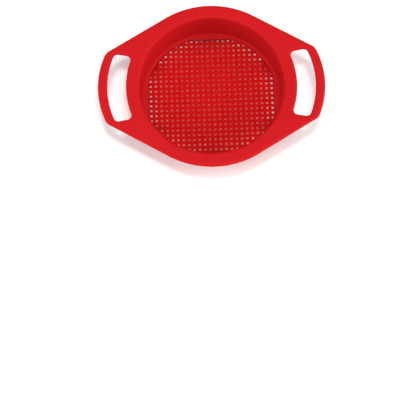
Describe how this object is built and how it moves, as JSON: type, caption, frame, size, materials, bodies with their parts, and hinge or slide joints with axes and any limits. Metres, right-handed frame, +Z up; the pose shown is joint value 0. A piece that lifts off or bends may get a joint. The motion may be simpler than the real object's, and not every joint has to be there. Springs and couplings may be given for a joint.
{
  "type": "sand sieve",
  "caption": "Round flat-bottomed sand sieve with a square-hole mesh floor, a wide flat rim and a hand slot at each end.",
  "frame": {"origin": "centre of the bowl on the surface that the sieve stands on", "axes": "+Z up out of the bowl, X along the line through the two grips, Y across"},
  "size_m": [0.2968, 0.226, 0.0538],
  "materials": {
    "moulded_red": "semi-gloss injection-moulded polypropylene, through-coloured"
  },
  "bodies": {
    "root": {"rim_plate": "moulded_red", "rolled_edge_front": "moulded_red", "rolled_edge_back": "moulded_red", "grip_left": "moulded_red", "grip_right": "moulded_red", "slot_edge_left": "moulded_red", "slot_edge_right": "moulded_red", "mouth_shoulder": "moulded_red", "bowl_wall": "moulded_red", "floor_ring": "moulded_red", "feet": "moulded_red", "sieve_mesh": "moulded_red"}
  },
  "joints": []
}
